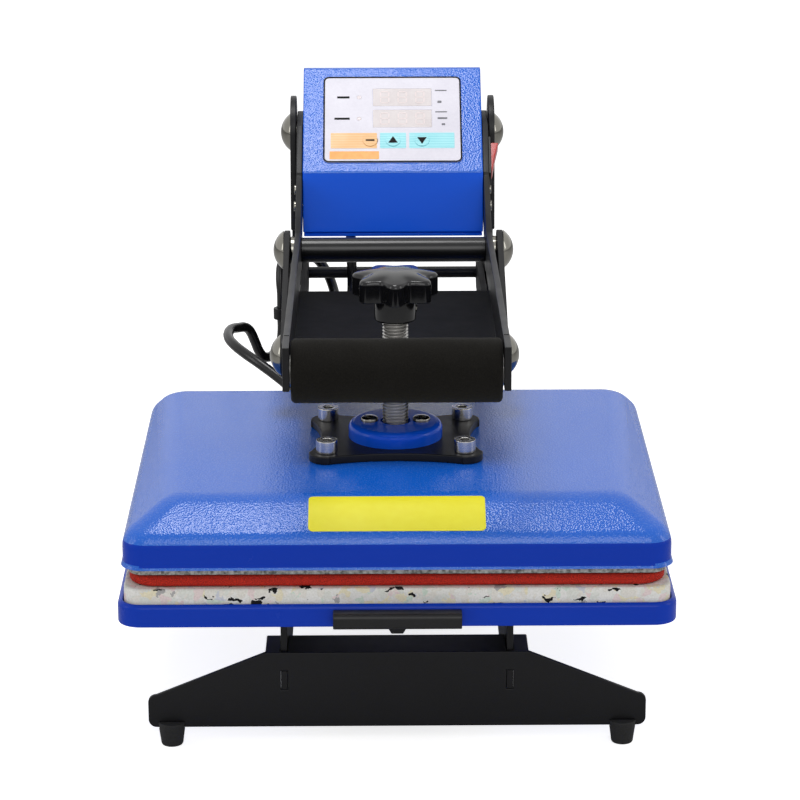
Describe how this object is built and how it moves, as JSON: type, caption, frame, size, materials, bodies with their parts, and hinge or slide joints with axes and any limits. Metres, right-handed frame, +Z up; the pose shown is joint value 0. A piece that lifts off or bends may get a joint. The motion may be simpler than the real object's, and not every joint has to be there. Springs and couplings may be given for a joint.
{
  "type": "flat heat press",
  "caption": "Clamshell flat heat press: heated upper platen on an over-centre lever linkage, screw-adjusted pressure, padded sliding bed and a control box with keys and a switch.",
  "frame": {"origin": "bottom centre of the press on the surface it stands on, without its heater lead", "axes": "+X to the user's right, -Y to the front where the grip is, +Z up"},
  "size_m": [0.328, 0.4694, 0.341],
  "materials": {
    "black_paint": "semi-gloss black powder coat on steel",
    "blue_paint": "blue hammertone paint on steel sheet",
    "foot_rubber": "matte black rubber",
    "grip_foam": "matte black foam",
    "rebond_foam": "off-white rebond foam with coloured flecks",
    "red_silicone": "matte red silicone sponge",
    "aluminium": "cast aluminium, coated face",
    "bare_steel": "turned steel",
    "bright_screws": "bright plated steel",
    "black_plastic": "moulded black plastic",
    "knob_plastic": "glossy black plastic",
    "overlay_print": "printed white film",
    "window_plastic": "pale display window",
    "lamp_plastic": "red lens",
    "board_green": "green circuit board",
    "insulation_board": "white mineral board",
    "rocker_red": "red moulded plastic",
    "key_orange": "printed orange film",
    "key_cyan": "printed pale cyan film",
    "lead_sleeve": "black silicone sleeve"
  },
  "bodies": {
    "base": {"left_base_plate": "black_paint", "right_base_plate": "black_paint", "front_foot": "black_paint", "rear_foot": "black_paint", "rubber_feet": "foot_rubber", "left_bed_rail": "black_paint", "right_bed_rail": "black_paint", "arm_pivot_shaft": "black_paint", "top_pivot_bolts": "bright_screws", "lead_clip": "black_paint", "heater_lead_upper": "lead_sleeve", "heater_lead_lower": "lead_sleeve"},
    "bed": {"lower_tray": "blue_paint", "rebond_pad": "rebond_foam", "silicone_pad": "red_silicone", "drawer_pull": "black_plastic", "drawer_catch": "black_paint", "bed_runners": "bare_steel"},
    "swing_arm": {"arm": "black_paint", "pressure_nut": "bare_steel"},
    "upper_platen": {"platen_cover": "blue_paint", "heating_plate": "aluminium", "heating_element": "bare_steel", "insulation": "insulation_board", "platen_posts": "bare_steel", "bracket_plate": "black_paint", "thrust_collar": "blue_paint", "cap_screws": "bright_screws", "collar_screws": "bright_screws", "platen_gland": "black_plastic"},
    "pressure_spindle": {"pressure_screw": "bare_steel", "star_knob": "knob_plastic", "set_screw": "bright_screws"},
    "lever": {"left_lever_plate": "black_paint", "right_lever_plate": "black_paint", "grip_tube": "bare_steel", "foam_grip": "grip_foam", "spacer_tube": "black_paint", "mid_pivot_bolts": "bright_screws", "control_box": "blue_paint", "box_back": "blue_paint", "panel_overlay": "overlay_print", "display_windows": "window_plastic", "indicator_lamps": "lamp_plastic", "circuit_board": "board_green", "box_screws": "bright_screws", "switch_bezel": "black_plastic", "box_gland": "black_plastic"},
    "power_rocker": {"rocker": "rocker_red"},
    "set_key": {"key_set": "key_orange"},
    "up_key": {"key_up": "key_cyan"},
    "down_key": {"key_down": "key_cyan"},
    "link_pair": {"left_link": "black_paint", "right_link": "black_paint", "low_pivot_bolts": "bright_screws"}
  },
  "joints": [
    {"name": "lever_hinge", "type": "hinge", "parent": "base", "child": "lever", "pos_m": [0, 0.1865, 0.298], "axis": [-1, 0, 0], "range_deg": [0, 90], "deforming": ["heater_lead_upper", "heater_lead_lower"]},
    {"name": "arm_hinge", "type": "hinge", "parent": "base", "child": "swing_arm", "pos_m": [0, 0.2045, 0.193], "axis": [-1, 0, 0], "range_deg": [0, 40], "deforming": ["heater_lead_lower", "heater_lead_upper"]},
    {"name": "link_hinge", "type": "hinge", "parent": "lever", "child": "link_pair", "pos_m": [0, 0.0835, 0.2405], "axis": [-1, 0, 0], "range_deg": [-101, 0]},
    {"name": "pressure_slide", "type": "slide", "parent": "swing_arm", "child": "upper_platen", "axis": [0, 0, 1], "range_m": [0, 0.01], "deforming": ["heater_lead_lower"]},
    {"name": "knob_turn", "type": "hinge", "parent": "upper_platen", "child": "pressure_spindle", "pos_m": [0, -0.0835, 0.262], "axis": [0, 0, 1], "range_deg": [0, 1800.5]},
    {"name": "bed_slide", "type": "slide", "parent": "base", "child": "bed", "axis": [0, -1, 0], "range_m": [0, 0.12]},
    {"name": "rocker_tip", "type": "hinge", "parent": "lever", "child": "power_rocker", "pos_m": [0.065, 0.1425, 0.287], "axis": [0, -0.648, 0.7617], "range_deg": [0, 12]},
    {"name": "set_key_press", "type": "slide", "parent": "lever", "child": "set_key", "axis": [0, 0.648, -0.7617], "range_m": [0, 0.0004], "stiffness_N_per_m": 400},
    {"name": "up_key_press", "type": "slide", "parent": "lever", "child": "up_key", "axis": [0, 0.648, -0.7617], "range_m": [0, 0.0004], "stiffness_N_per_m": 400},
    {"name": "down_key_press", "type": "slide", "parent": "lever", "child": "down_key", "axis": [0, 0.648, -0.7617], "range_m": [0, 0.0004], "stiffness_N_per_m": 400}
  ],
  "couplings": [
    {"joint": "arm_hinge", "follows": "lever_hinge", "ratio": 0.444},
    {"joint": "link_hinge", "follows": "lever_hinge", "ratio": -1.12},
    {"joint": "knob_turn", "follows": "pressure_slide", "rad_per_m": 3141.6}
  ]
}
